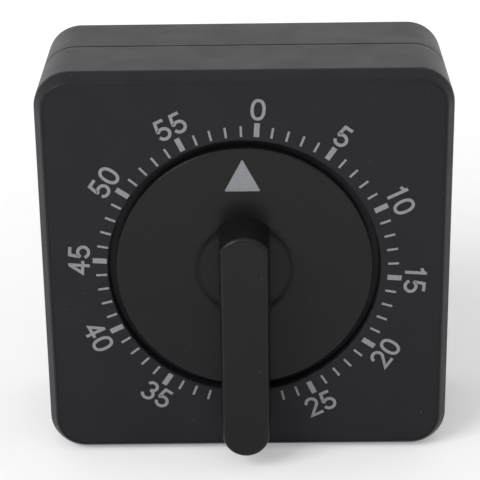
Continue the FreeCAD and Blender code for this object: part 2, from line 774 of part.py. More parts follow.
def lever_wire(half_width, top_reach, pointer_reach, depth):
    """The lever's outline: a flat-topped end above the axis and a half round end below."""
    top_round = LEVER_TOP_ROUND + half_width - LEVER_WIDTH / 2
    sagitta = top_round - math.sqrt(top_round ** 2 - half_width ** 2)
    shoulder = top_reach - sagitta
    tip_centre = (AXIS_X, half_width - pointer_reach)
    top_left = (AXIS_X - half_width, shoulder)
    top_right = (AXIS_X + half_width, shoulder)
    tip_left = (AXIS_X - half_width, tip_centre[1])
    tip_right = (AXIS_X + half_width, tip_centre[1])
    edges = [
        arc(top_left, (AXIS_X, top_reach), top_right, depth),
        line(top_right, tip_right, depth),
        arc(tip_right, (AXIS_X, -pointer_reach), tip_left, depth),
        line(tip_left, top_left, depth),
    ]
    return Part.Wire(edges)


def dial_lever():
    half = LEVER_WIDTH / 2
    top = lever_wire(half, LEVER_TOP_REACH, LEVER_POINTER_REACH, -LEVER_HEIGHT)
    foot = lever_wire(
        half + LEVER_DRAFT,
        LEVER_TOP_REACH + LEVER_DRAFT,
        LEVER_POINTER_REACH + LEVER_DRAFT,
        0,
    )
    lever = Part.makeLoft([top, foot], True, True)
    top_edges = [edge for edge in lever.Edges if lies_at_depth(edge, -LEVER_HEIGHT)]
    lever = lever.makeFillet(LEVER_EDGE_ROUND, top_edges)
    seat_radius = DISH_RADIUS - DISH_SLOPE - RUNNING_FIT
    seat_wire = lever_wire(half, LEVER_TOP_REACH, LEVER_POINTER_REACH, 0)
    seat = extrude(seat_wire, 0, DISH_DEPTH).common(cylinder(seat_radius, 0, DISH_DEPTH))
    lever = joined([lever, seat])
    overhang = tube(2 * LEVER_POINTER_REACH, DIAL_RADIUS - DIAL_EDGE_ROUND, -LEVER_PANEL_GAP, 0)
    bore = cylinder(MAIN_SPINDLE_RADIUS + SEAT_FIT, -LEVER_BORE_DEPTH, DISH_DEPTH)
    return cut_all(lever, [overhang, bore])


def main_arbor():
    spindle = cylinder(MAIN_SPINDLE_RADIUS, END_SHAKE - LEVER_BORE_DEPTH, FRONT_PLATE_BACK + LAYER_GAP)
    body = cylinder(MAIN_ARBOR_RADIUS, FRONT_PLATE_BACK + LAYER_GAP, BACK_PLATE_DEPTH - LAYER_GAP)
    pivot = cylinder(MAIN_PIVOT_RADIUS, BACK_PLATE_DEPTH - LAYER_GAP, BACK_PLATE_BACK - END_SHAKE)
    return joined([spindle, body, pivot])


# Winding

def click_place():
    return polar(CLICK_PIVOT_RADIUS, CLICK_PIVOT_ANGLE)


def main_wheel():
    turn = bearing(AXIS, SECOND_PLACE)
    wheel = polygon(spur_outline(MAIN_MODULE, MAIN_TEETH, turn, AXIS), MAIN_WHEEL_DEPTH, MAIN_WHEEL_BACK)
    holes = light_holes(
        MAIN_WHEEL_HOLES,
        MAIN_WHEEL_HOLE_RADIUS,
        MAIN_WHEEL_HOLE_REACH,
        MAIN_WHEEL_DEPTH,
        MAIN_WHEEL_BACK,
        0,
        AXIS,
    )
    holes.append(cylinder(MAIN_ARBOR_RADIUS + SEAT_FIT, MAIN_WHEEL_DEPTH, MAIN_WHEEL_BACK))
    holes.append(cylinder(CLICK_STUD_RADIUS + SEAT_FIT, MAIN_WHEEL_DEPTH, MAIN_WHEEL_BACK, click_place()))
    return cut_all(wheel, holes)


def ratchet_wheel():
    outline = ratchet_places(RATCHET_TEETH, RATCHET_TIP_RADIUS, RATCHET_ROOT_RADIUS, RATCHET_LEAN, AXIS)
    bore = cylinder(MAIN_ARBOR_RADIUS + SEAT_FIT, RATCHET_DEPTH, MAIN_WHEEL_DEPTH)
    return polygon(outline, RATCHET_DEPTH, MAIN_WHEEL_DEPTH).cut(bore)


def click():
    pivot = click_place()
    tip = polar(RATCHET_TIP_RADIUS + CLICK_TIP_HALF_WIDTH + 2 * RUNNING_FIT, CLICK_TIP_ANGLE)
    arm = bar(pivot, tip, CLICK_HALF_WIDTH, CLICK_TIP_HALF_WIDTH, RATCHET_DEPTH, MAIN_WHEEL_DEPTH)
    stud = cylinder(CLICK_STUD_RADIUS, MAIN_WHEEL_DEPTH, MAIN_WHEEL_BACK, pivot)
    return joined([arm, stud])


def spring_centre(half_turn):
    """The two centres about which the half turns of the spring are struck."""
    shift = SPRING_PITCH / 2 * (half_turn % 2)
    return (AXIS_X + shift, 0.0)


def spring_radius(half_turn):
    return SPRING_INNER_RADIUS + SPRING_PITCH / 2 * half_turn


def spring_end():
    """The place of the post that holds the outer end of the mainspring."""
    last = SPRING_HALF_TURNS - 1
    reach = spring_radius(last) + SPRING_POST_RADIUS + RUNNING_FIT + SPRING_THICKNESS / 2
    side = 180 if SPRING_HALF_TURNS % 2 else 0
    return polar(reach, side, spring_centre(last))


def spring_arcs(offset):
    """The half circles of one side of the spring's strip, from the inside out."""
    arcs = []
    for half_turn in range(SPRING_HALF_TURNS):
        start = 0 if half_turn % 2 == 0 else 180
        centre = spring_centre(half_turn)
        radius = spring_radius(half_turn) + offset
        stations = [polar(radius, start + step, centre) for step in (0, 90, 180)]
        arcs.append(stations)
    return arcs


def mainspring():
    half = SPRING_THICKNESS / 2
    inner = spring_arcs(-half)
    outer = spring_arcs(half)
    edges = [arc(*stations, SPRING_DEPTH) for stations in inner]
    edges.append(line(inner[-1][2], outer[-1][2], SPRING_DEPTH))
    edges += [arc(*reversed(stations), SPRING_DEPTH) for stations in reversed(outer)]
    edges.append(line(outer[0][0], inner[0][0], SPRING_DEPTH))
    strip = extrude(Part.Wire(edges), SPRING_DEPTH, SPRING_BACK)
    eye_inner = SPRING_POST_RADIUS + RUNNING_FIT
    eye = cylinder(eye_inner + SPRING_THICKNESS, SPRING_DEPTH, SPRING_BACK, spring_end())
    eye_hole = cylinder(eye_inner, SPRING_DEPTH, SPRING_BACK, spring_end())
    return joined([strip, eye]).cut(eye_hole)


def spring_post():
    return cylinder(SPRING_POST_RADIUS, SPRING_DEPTH, BACK_PLATE_BACK, spring_end())


# Going train

def second_wheel():
    turn = bearing(SECOND_PLACE, THIRD_PLACE)
    return train_wheel(SECOND_TEETH, SECOND_WHEEL_DEPTH, turn, SECOND_PLACE)


def second_pinion():
    front = MAIN_WHEEL_DEPTH - PINION_OVERHANG
    back = MAIN_WHEEL_BACK + PINION_OVERHANG
    return pinion(MAIN_MODULE, front, back, gap_towards(SECOND_PLACE, AXIS), SECOND_PLACE)


def third_wheel():
    turn = bearing(THIRD_PLACE, ESCAPE_PLACE)
    return train_wheel(THIRD_TEETH, THIRD_WHEEL_DEPTH, turn, THIRD_PLACE)


def third_pinion():
    front = SECOND_WHEEL_DEPTH - PINION_OVERHANG
    back = SECOND_WHEEL_BACK + PINION_OVERHANG
    return pinion(TRAIN_MODULE, front, back, gap_towards(THIRD_PLACE, SECOND_PLACE), THIRD_PLACE)


def escape_wheel():
    front = SECOND_WHEEL_DEPTH
    back = front + WHEEL_THICKNESS
    outline = ratchet_places(ESCAPE_TEETH, ESCAPE_TIP_RADIUS, ESCAPE_ROOT_RADIUS, ESCAPE_LEAN, ESCAPE_PLACE)
    collet = cylinder(COLLET_RADIUS, front - COLLET_LENGTH, front, ESCAPE_PLACE)
    wheel = joined([polygon(outline, front, back), collet])
    return wheel.cut(cylinder(ARBOR_RADIUS + SEAT_FIT, front - COLLET_LENGTH, back, ESCAPE_PLACE))


def escape_pinion():
    front = THIRD_WHEEL_DEPTH - PINION_OVERHANG
    back = THIRD_WHEEL_BACK + PINION_OVERHANG
    return pinion(TRAIN_MODULE, front, back, gap_towards(ESCAPE_PLACE, THIRD_PLACE), ESCAPE_PLACE)


# Escapement

def pallet_pin_places():
    reach = ESCAPE_TIP_RADIUS + PALLET_PIN_GAP + PALLET_PIN_RADIUS
    middle = bearing(ESCAPE_PLACE, PALLET_PLACE)
    return [polar(reach, middle + side * PALLET_SPAN / 2, ESCAPE_PLACE) for side in (-1, 1)]


def pallet_arbor():
    return train_arbor(PALLET_PLACE)


def pallet_lever():
    front = PALLET_PLATE_DEPTH
    back = PALLET_PLATE_BACK
    arms = [
        bar(PALLET_PLACE, place, 2 * ARBOR_RADIUS, PALLET_ARM_HALF_WIDTH, front, back)
        for place in pallet_pin_places()
    ]
    holes = [cylinder(ARBOR_RADIUS + SEAT_FIT, front, back, PALLET_PLACE)]
    holes += cylinders(PALLET_PIN_RADIUS + SEAT_FIT, front, back, pallet_pin_places())
    return cut_all(joined(arms), holes)


def pallet_pins():
    front = SECOND_WHEEL_DEPTH - PINION_OVERHANG
    return cylinders(PALLET_PIN_RADIUS, front, PALLET_PLATE_BACK, pallet_pin_places())


def balance_bar():
    back = BALANCE_BACK
    across = bearing(PALLET_PLACE, ESCAPE_PLACE) + 90
    ends = [polar(BALANCE_REACH, across, PALLET_PLACE), polar(-BALANCE_REACH, across, PALLET_PLACE)]
    pieces = [bar(ends[0], ends[1], BALANCE_BAR_HALF_WIDTH, BALANCE_BAR_HALF_WIDTH, BALANCE_DEPTH, back)]
    pieces += cylinders(BALANCE_WEIGHT_RADIUS, BALANCE_DEPTH, back, ends)
    pieces.append(cylinder(2 * ARBOR_RADIUS, BALANCE_DEPTH, back, PALLET_PLACE))
    bore = cylinder(ARBOR_RADIUS + SEAT_FIT, BALANCE_DEPTH, back, PALLET_PLACE)
    return joined(pieces).cut(bore)


# Bell

def bell_curve(radius, shoulder, crown_depth):
    """One side of the cup's wall, from the crown round the shoulder towards the rim."""
    centre = (radius - shoulder, crown_depth - shoulder)
    curve = []
    for step in range(BELL_SHOULDER_FACETS + 1):
        turn = math.radians(90 - step * 90 / BELL_SHOULDER_FACETS)
        curve.append((centre[0] + shoulder * math.cos(turn), centre[1] + shoulder * math.sin(turn)))
    return curve


def bell():
    bore = BELL_SCREW_RADIUS + SCREW_FIT
    crown_inside = BELL_CROWN_DEPTH - BELL_WALL
    inner_radius = BELL_RADIUS - BELL_WALL
    profile = [(bore, BELL_CROWN_DEPTH)]
    profile += bell_curve(BELL_RADIUS, BELL_SHOULDER, BELL_CROWN_DEPTH)
    profile += [(BELL_RADIUS, BELL_RIM_DEPTH), (inner_radius, BELL_RIM_DEPTH)]
    profile += reversed(bell_curve(inner_radius, BELL_SHOULDER - BELL_WALL, crown_inside))
    profile.append((bore, crown_inside))
    return turned(profile)


def bell_screw():
    return screw(
        AXIS,
        BELL_CROWN_DEPTH - BELL_WALL,
        BELL_SCREW_LENGTH,
        BELL_SCREW_RADIUS,
        BELL_SCREW_HEAD_RADIUS,
        BELL_SCREW_HEAD,
        towards=1,
    )


# Strike work

def strike_cam():
    back = CAM_DEPTH + CAM_THICKNESS
    disc = cylinder(CAM_RADIUS, CAM_DEPTH, back)
    notch_floor = CAM_RADIUS - CAM_NOTCH_DEPTH
    half_notch = math.degrees(math.asin(CAM_NOTCH_WIDTH / 2 / CAM_RADIUS))
    outside = CAM_RADIUS + CAM_NOTCH_DEPTH
    notch = polygon(
        [
            polar(notch_floor, STOP_NOSE_ANGLE - half_notch),
            polar(outside, STOP_NOSE_ANGLE - half_notch),
            polar(outside, STOP_NOSE_ANGLE + half_notch),
            polar(notch_floor, STOP_NOSE_ANGLE + half_notch),
        ],
        CAM_DEPTH,
        back,
    )
    return cut_all(disc, [notch, cylinder(MAIN_ARBOR_RADIUS + SEAT_FIT, CAM_DEPTH, back)])


def strike_wheel():
    back = STAR_DEPTH + STAR_THICKNESS
    outline = ratchet_places(STAR_TEETH, STAR_TIP_RADIUS, STAR_ROOT_RADIUS, STAR_LEAN, STRIKE_PLACE)
    bore = cylinder(ARBOR_RADIUS + SEAT_FIT, STAR_DEPTH, back, STRIKE_PLACE)
    return polygon(outline, STAR_DEPTH, back).cut(bore)


def strike_pinion():
    front = MAIN_WHEEL_DEPTH - PINION_OVERHANG
    back = MAIN_WHEEL_BACK + PINION_OVERHANG
    offset = bearing(AXIS, STRIKE_PLACE) - bearing(AXIS, SECOND_PLACE)
    tooth_pitch = 360 / MAIN_TEETH
    # The nearest tooth of the main wheel may stand off the line to this pinion, and its leaves follow it
    tooth_shift = offset % tooth_pitch
    turn = gap_towards(STRIKE_PLACE, AXIS) + tooth_shift * MAIN_TEETH / PINION_LEAVES
    return pinion(MAIN_MODULE, front, back, turn, STRIKE_PLACE)


def hammer_head_place():
    return polar(BELL_RADIUS + HAMMER_BELL_GAP + HAMMER_HEAD_RADIUS, HAMMER_HEAD_ANGLE)


def hammer_arbor():
    tail_length = distance(HAMMER_PLACE, STRIKE_PLACE) - STAR_TIP_RADIUS - TRIP_GAP - HAMMER_TAIL_HALF_WIDTH
    tail_end = polar(tail_length, bearing(HAMMER_PLACE, STRIKE_PLACE), HAMMER_PLACE)
    back = STAR_DEPTH + STAR_THICKNESS
    tail = bar(HAMMER_PLACE, tail_end, HAMMER_HUB_RADIUS, HAMMER_TAIL_HALF_WIDTH, STAR_DEPTH, back)
    pivot = cylinder(PIVOT_RADIUS, FRONT_PLATE_DEPTH + END_SHAKE, FRONT_PLATE_BACK + END_SHAKE, HAMMER_PLACE)
    body = cylinder(ARBOR_RADIUS, FRONT_PLATE_BACK + END_SHAKE, HAMMER_ARM_DEPTH, HAMMER_PLACE)
    return joined([body, pivot, tail])


def hammer_arm():
    back = HAMMER_ARM_DEPTH + HAMMER_ARM_THICKNESS
    return bar(
        HAMMER_PLACE,
        hammer_head_place(),
        HAMMER_HUB_RADIUS,
        HAMMER_ARM_HALF_WIDTH,
        HAMMER_ARM_DEPTH,
        back,
    )


def hammer_head():
    return cylinder(HAMMER_HEAD_RADIUS, HAMMER_HEAD_DEPTH, HAMMER_ARM_DEPTH, hammer_head_place())


def stop_arbor():
    return train_arbor(STOP_PLACE)


def stop_lever():
    back = CAM_DEPTH + STOP_LEVER_THICKNESS
    nose = polar(CAM_RADIUS + TRIP_GAP + STOP_NOSE_RADIUS, STOP_NOSE_ANGLE)
    catch = polar(STOP_CATCH_REACH, bearing(STOP_PLACE, HAMMER_PLACE), STOP_PLACE)
    arms = [
        bar(STOP_PLACE, nose, STOP_HUB_RADIUS, STOP_NOSE_RADIUS, CAM_DEPTH, back),
        bar(STOP_PLACE, catch, STOP_HUB_RADIUS, STOP_NOSE_RADIUS, CAM_DEPTH, back),
    ]
    return joined(arms).cut(cylinder(ARBOR_RADIUS + SEAT_FIT, CAM_DEPTH, back, STOP_PLACE))


NODES = (
    front_shell,
    rear_shell,
    case_screws,
    front_plate,
    back_plate,
    plate_pillars,
    pillar_screws,
    mount_screws,
    dial_plate,
    dial_lever,
    main_arbor,
    main_wheel,
    ratchet_wheel,
    click,
    mainspring,
    spring_post,
    second_wheel,
    second_pinion,
    third_wheel,
    third_pinion,
    escape_wheel,
    escape_pinion,
    pallet_arbor,
    pallet_lever,
    pallet_pins,
    balance_bar,
    bell,
    bell_screw,
    strike_cam,
    strike_wheel,
    strike_pinion,
    hammer_arbor,
    hammer_arm,
    hammer_head,
    stop_arbor,
    stop_lever,
)

os.makedirs("parts", exist_ok=True)
for node in NODES:
    made = node()
    shape = Part.Compound(made) if isinstance(made, list) else made
    shape.exportStep("parts/" + node.__name__ + ".step")
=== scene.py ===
import math

import bpy
from mathutils import Euler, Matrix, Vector


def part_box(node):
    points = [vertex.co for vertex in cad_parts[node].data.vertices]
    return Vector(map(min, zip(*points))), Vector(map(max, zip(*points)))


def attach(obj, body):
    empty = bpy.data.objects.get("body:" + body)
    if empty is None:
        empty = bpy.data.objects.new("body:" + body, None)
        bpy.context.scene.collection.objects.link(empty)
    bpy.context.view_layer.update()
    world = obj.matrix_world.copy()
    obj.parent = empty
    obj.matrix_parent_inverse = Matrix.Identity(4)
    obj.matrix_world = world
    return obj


# The looks of a square mechanical countdown timer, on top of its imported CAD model.
# Lengths are named in millimetres and turned into metres where they are used.

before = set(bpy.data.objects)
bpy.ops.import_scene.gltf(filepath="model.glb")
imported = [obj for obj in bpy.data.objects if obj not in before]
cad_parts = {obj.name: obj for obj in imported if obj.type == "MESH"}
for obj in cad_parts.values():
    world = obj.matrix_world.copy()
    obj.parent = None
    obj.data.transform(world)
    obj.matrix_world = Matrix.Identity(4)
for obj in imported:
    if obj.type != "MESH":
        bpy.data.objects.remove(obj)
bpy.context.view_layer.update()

MM = 0.001

# The printed scale stands a little turned on the case, as it does on the real one
SCALE_CENTRE = (0.23, 0.0)
SCALE_TURN = 4.16
SCALE_MINUTES = 60
LABEL_MINUTES = 5
DEGREES_PER_MINUTE = 360 / SCALE_MINUTES
TICK_INNER_RADIUS = 23.33
MINUTE_TICK = (0.38, 1.8)
FIVE_MINUTE_TICK = (0.9, 2.35)
NUMERAL_RADIUS = 27.96
NUMERAL_HEIGHT = 3.66
NUMERAL_WIDTH = 2.44
NUMERAL_STROKE = 0.53
NUMERAL_STEP = 2.78
INK_HEIGHT = 0.03
INK_SINK = 0.01
INK_OVERLAP = 0.008
INVERTED_LABELS = (20, 25, 30, 35, 40)

# A ribbon's joint is mitred until the cosine of half its turn falls to this
MITRE_LIMIT = 0.5

# The pointer mark printed on the dial, with its tip up
MARK_MIDDLE = -0.42
MARK_TIP = 19.45
MARK_BASE = 13.9
MARK_WIDTH = 5.9
MARK_ROUND = 0.15

# The photograph's camera
CAMERA_PLACE = (1.716, -299.489, 161.088)
CAMERA_TURN = (67.1643, 0.7287, 0.2166)
CAMERA_LENS = 142.797
CAMERA_SENSOR = 36.0


# Geometry

case_low, case_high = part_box("front_shell")
FACE_X = (case_low.x + case_high.x) / 2
FACE_Z = (case_low.z + case_high.z) / 2
PANEL_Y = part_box("dial_plate")[0].y


def face_point(place, height):
    """A point above the panel from a place in millimetres about the middle of the face."""
    return Vector((FACE_X + place[0] * MM, PANEL_Y - height * MM, FACE_Z + place[1] * MM))


class Prints:
    """Flat printed shapes on one plane, gathered into one mesh."""

    def __init__(self):
        self.points = []
        self.faces = []

    def add_plate(self, outline):
        """A thin closed plate with a convex outline that runs anticlockwise from the front."""
        first = len(self.points)
        count = len(outline)
        for height in (-INK_SINK, INK_HEIGHT):
            self.points += [face_point(place, height) for place in outline]
        self.faces.append([first + count + i for i in range(count)])
        self.faces.append([first + i for i in reversed(range(count))])
        for i in range(count):
            j = (i + 1) % count
            self.faces.append([first + i, first + j, first + count + j, first + count + i])

    def add_stroke(self, path, width, closed=False, lift=0.0):
        """A thin ribbon of one width along a path, with mitred joints."""
        first = len(self.points)
        sides = ribbon_sides(path, width, closed)
        top = INK_HEIGHT + lift
        for left, right in sides:
            for side, height in ((left, -INK_SINK), (left, top), (right, top), (right, -INK_SINK)):
                self.points.append(face_point(side, height))
        count = len(sides)
        for i in range(count if closed else count - 1):
            here = first + 4 * i
            there = first + 4 * ((i + 1) % count)
            for k in range(4):
                m = (k + 1) % 4
                self.faces.append([here + k, here + m, there + m, there + k])
        if not closed:
            last = first + 4 * (count - 1)
            self.faces.append([first + k for k in reversed(range(4))])
            self.faces.append([last + k for k in range(4)])

    def make(self, name, body, material):
        """The gathered shapes as one piece that rides on a body."""
        mesh = bpy.data.meshes.new(name)
        mesh.from_pydata(self.points, [], self.faces)
        mesh.validate()
        mesh.materials.append(material)
        piece = bpy.data.objects.new(name, mesh)
        bpy.context.scene.collection.objects.link(piece)
        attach(piece, body)
        return piece


def direction(a, b):
    """The step of length one from a towards b."""
    length = math.hypot(b[0] - a[0], b[1] - a[1])
    return ((b[0] - a[0]) / length, (b[1] - a[1]) / length)


def ribbon_sides(path, width, closed):
    """The left and right edge points of a ribbon along a path."""
    count = len(path)
    sides = []
    for i, here in enumerate(path):
        before = path[i - 1] if i > 0 or closed else None
        after = path[(i + 1) % count] if i < count - 1 or closed else None
        came = direction(before, here) if before else direction(here, after)
        goes = direction(here, after) if after else came
        along = (came[0] + goes[0], came[1] + goes[1])
        length = math.hypot(*along)
        along = (along[0] / length, along[1] / length)
        cosine = along[0] * goes[0] + along[1] * goes[1]
        reach = width / 2 / max(cosine, MITRE_LIMIT)
        left = (here[0] - along[1] * reach, here[1] + along[0] * reach)
        right = (here[0] + along[1] * reach, here[1] - along[0] * reach)
        sides.append((left, right))
    return sides


def bow(middle, radii, start, end, steps=14):
    """Points along part of an oval, between two angles in degrees from +x towards +y."""
    points = []
    for step in range(steps + 1):
        turn = math.radians(start + (end - start) * step / steps)
        points.append((middle[0] + radii[0] * math.cos(turn), middle[1] + radii[1] * math.sin(turn)))
    return points


def squared_oval(radii, power, steps=32):
    """Points around an oval whose sides are fuller than an ellipse's."""
    points = []
    for step in range(steps):
        turn = math.tau * step / steps
        c, s = math.cos(turn), math.sin(turn)
        x = math.copysign(abs(c) ** (2 / power), c) * radii[0]
        y = math.copysign(abs(s) ** (2 / power), s) * radii[1]
        points.append((x, y))
    return points


# Digits are drawn with one stroke width, in a box about their middle

HALF_W = (NUMERAL_WIDTH - NUMERAL_STROKE) / 2
HALF_H = (NUMERAL_HEIGHT - NUMERAL_STROKE) / 2
STROKE_END = NUMERAL_STROKE / 2


def digit_strokes(digit):
    """The paths of a digit and whether each is closed."""
    if digit == "0":
        return [(squared_oval((HALF_W, HALF_H), 2.3), True)]
    if digit == "1":
        stem_x = 0.3 * HALF_W
        stem = [(stem_x, HALF_H + STROKE_END), (stem_x, -HALF_H - STROKE_END)]
        flag = bow((stem_x - 1.15, HALF_H + 0.1), (1.15, 0.75), -75, -5, 6)
        return [(stem, False), (flag, False)]
    if digit == "2":
        head_radius = (HALF_W * 0.94, HALF_W * 0.96)
        head = bow((0, HALF_H - head_radius[1]), head_radius, 175, -30)
        foot = [(-HALF_W * 0.85, -HALF_H), (HALF_W + STROKE_END, -HALF_H)]
        return [(head + foot, False)]
    if digit == "3":
        upper = (HALF_W * 0.88, HALF_H * 0.47)
        lower = (HALF_W, HALF_H * 0.53)
        head = bow((0, HALF_H - upper[1]), upper, 165, -90)
        tail = bow((0, -HALF_H + lower[1]), lower, 90, -165)
        return [(head, False), (tail, False)]
    if digit == "4":
        stem_x = 0.42 * HALF_W
        bar_y = -0.42 * HALF_H
        stem = [(stem_x, -HALF_H - STROKE_END), (stem_x, HALF_H + STROKE_END * 0.6)]
        slant = [(stem_x, HALF_H), (-HALF_W, bar_y), (HALF_W + STROKE_END, bar_y)]
        return [(stem, False), (slant, False)]
    bowl = (HALF_W, HALF_H * 0.58)
    bowl_middle = (0, -HALF_H + bowl[1])
    top = [(HALF_W * 0.85, HALF_H), (-HALF_W * 0.62, HALF_H), (-HALF_W * 0.86, 0.02 * HALF_H)]
    return [(top + bow(bowl_middle, bowl, 138, -162), False)]


def clock_axes(minutes):
    """The outward and the clockwise direction at a minute of the scale."""
    turn = math.radians(minutes * DEGREES_PER_MINUTE + SCALE_TURN)
    return (math.sin(turn), math.cos(turn)), (math.cos(turn), -math.sin(turn))


def scale_place(minutes, radius, up=0.0, right=0.0):
    """The place at a minute and radius of the scale, moved outwards and clockwise from there."""
    outward, clockwise = clock_axes(minutes)
    x = SCALE_CENTRE[0] + outward[0] * (radius + up) + clockwise[0] * right
    y = SCALE_CENTRE[1] + outward[1] * (radius + up) + clockwise[1] * right
    return (x, y)


def add_ticks(prints):
    """A thin tick for each minute, and a thick one at each label."""
    for minute in range(SCALE_MINUTES):
        width, length = MINUTE_TICK if minute % LABEL_MINUTES else FIVE_MINUTE_TICK
        ends = [scale_place(minute, TICK_INNER_RADIUS + reach) for reach in (0, length)]
        prints.add_stroke(ends, width)


def add_numerals(prints):
    """The labels around the scale, their tops outwards, or inwards where they are inverted."""
    for label in range(0, SCALE_MINUTES, LABEL_MINUTES):
        facing = -1 if label in INVERTED_LABELS else 1
        text = str(label)
        for place, digit in enumerate(text):
            shift = (place - (len(text) - 1) / 2) * NUMERAL_STEP
            for layer, (path, closed) in enumerate(digit_strokes(digit)):
                turned = [
                    scale_place(label, NUMERAL_RADIUS, facing * y, facing * (x + shift))
                    for x, y in path
                ]
                prints.add_stroke(turned, NUMERAL_STROKE, closed, layer * INK_OVERLAP)


def rounded_corners(corners, radius, steps=4):
    """A convex outline with each corner replaced by a small arc."""
    outline = []
    count = len(corners)
    for i, corner in enumerate(corners):
        back = direction(corner, corners[i - 1])
        ahead = direction(corner, corners[(i + 1) % count])
        middle = direction((0, 0), (back[0] + ahead[0], back[1] + ahead[1]))
        half_sine = abs(middle[0] * ahead[1] - middle[1] * ahead[0])
        centre = (
            corner[0] + middle[0] * radius / half_sine,
            corner[1] + middle[1] * radius / half_sine,
        )
        start = math.atan2(back[0], -back[1])
        end = math.atan2(-ahead[0], ahead[1])
        if end < start:
            end += math.tau
        for step in range(steps + 1):
            turn = start + (end - start) * step / steps
            outline.append((centre[0] + radius * math.cos(turn), centre[1] + radius * math.sin(turn)))
    return outline


# Materials

# Sizes of grain, cloud and relief in millimetres
CLOUD_SIZE = 6.0
STAIN_SIZE = 7.0
METAL_LINE_SIZE = 0.22
METAL_RELIEF = 0.006
INK_GRAIN_SIZE = 0.35
INK_RELIEF = 0.01
FLOOR_SPECKLE_SIZE = 4.0

# Dust lies in some of the cells of a random pattern, one speck to a cell
DUST_CELL = 3.0
DUST_EDGE = (0.02, 0.05)
DUST_SHARE = 0.3
DUST_FADE = 0.1
DUST_COVER = 0.6
DUST_COLOUR = (0.14, 0.14, 0.14)

# The part of a noise's range in which most of its values lie
NOISE_RANGE = (0.3, 0.7)

EDGE_SAMPLES = 6


def new_material(name):
    """A material and its principled shader."""
    material = bpy.data.materials.new(name)
    material.use_nodes = True
    return material, material.node_tree.nodes["Principled BSDF"]


def add_node(owner, kind, **inputs):
    """A node of a material or world, with some of its inputs set by name."""
    node = owner.node_tree.nodes.new(kind)
    for name, value in inputs.items():
        node.inputs[name].default_value = value
    return node


def link(owner, source, target):
    owner.node_tree.links.new(source, target)


def combine(owner, operation, first, second):
    """Two values combined by an operation such as MULTIPLY or MAXIMUM."""
    node = add_node(owner, "ShaderNodeMath")
    node.operation = operation
    link(owner, first, node.inputs[0])
    link(owner, second, node.inputs[1])
    return node.outputs["Value"]


def remap(owner, value, low, high, start=NOISE_RANGE[0], end=NOISE_RANGE[1]):
    """A value that runs from low to high while the given one goes from start to end."""
    node = add_node(owner, "ShaderNodeMapRange")
    node.inputs["From Min"].default_value = start
    node.inputs["From Max"].default_value = end
    node.inputs["To Min"].default_value = low
    node.inputs["To Max"].default_value = high
    link(owner, value, node.inputs["Value"])
    return node.outputs["Result"]


def texture_place(material, stretch=(1.0, 1.0, 1.0)):
    """Object coordinates, squeezed or stretched along the axes."""
    coordinates = add_node(material, "ShaderNodeTexCoord")
    mapping = add_node(material, "ShaderNodeMapping", Scale=stretch)
    link(material, coordinates.outputs["Object"], mapping.inputs["Vector"])
    return mapping.outputs["Vector"]


def noise(material, place, size, detail=2.0, roughness=0.5):
    """Noise whose blotches are about one size across."""
    node = add_node(
        material, "ShaderNodeTexNoise", Scale=1 / (size * MM), Detail=detail, Roughness=roughness
    )
    link(material, place, node.inputs["Vector"])
    return node.outputs["Fac"]


def shades(material, value, dark, light):
    """A colour that runs from dark to light with a noise."""
    ramp = add_node(material, "ShaderNodeValToRGB")
    for element, position, colour in zip(ramp.color_ramp.elements, NOISE_RANGE, (dark, light)):
        element.position = position
        element.color = (*colour, 1)
    link(material, value, ramp.inputs["Fac"])
    return ramp.outputs["Color"]


def bump(material, value, height, normal=None):
    node = add_node(material, "ShaderNodeBump", Distance=height * MM)
    link(material, value, node.inputs["Height"])
    if normal:
        link(material, normal, node.inputs["Normal"])
    return node.outputs["Normal"]


def soft_edges(material, radius):
    """Normals that round the edges off a little."""
    node = add_node(material, "ShaderNodeBevel", Radius=radius * MM)
    node.samples = EDGE_SAMPLES
    return node.outputs["Normal"]


def dusted(material, place, colour):
    """A colour with a few pale specks of dust."""
    cells = add_node(material, "ShaderNodeTexVoronoi", Scale=1 / (DUST_CELL * MM))
    link(material, place, cells.inputs["Vector"])
    speck = remap(material, cells.outputs["Distance"], DUST_COVER, 0.0, *DUST_EDGE)
    draw = add_node(material, "ShaderNodeSeparateColor")
    link(material, cells.outputs["Color"], draw.inputs["Color"])
    first_dusted = 1 - DUST_SHARE
    fully_dusted = 1 - DUST_SHARE * (1 - DUST_FADE)
    chosen = remap(material, draw.outputs["Red"], 0.0, 1.0, first_dusted, fully_dusted)
    mix = add_node(material, "ShaderNodeMix")
    mix.data_type = "RGBA"
    factor, plain, dust = mix.inputs[0], mix.inputs[6], mix.inputs[7]
    link(material, combine(material, "MULTIPLY", speck, chosen), factor)
    link(material, colour, plain)
    dust.default_value = (*DUST_COLOUR, 1)
    return mix.outputs[2]


def moulded_plastic(name, dark, light, roughness, specular, grain, relief, edge):
    """Satin plastic with a fine spark-eroded grain, a faint cloudiness and a little dust."""
    material, shader = new_material(name)
    place = texture_place(material)
    cloud = noise(material, place, CLOUD_SIZE, detail=3.0)
    texture = noise(material, place, grain, detail=3.0, roughness=0.6)
    colour = dusted(material, place, shades(material, cloud, dark, light))
    link(material, colour, shader.inputs["Base Color"])
    gloss = remap(material, cloud, roughness - 0.04, roughness + 0.04)
    link(material, gloss, shader.inputs["Roughness"])
    normal = bump(material, texture, relief, soft_edges(material, edge))
    link(material, normal, shader.inputs["Normal"])
    shader.inputs["Specular IOR Level"].default_value = specular
    return material


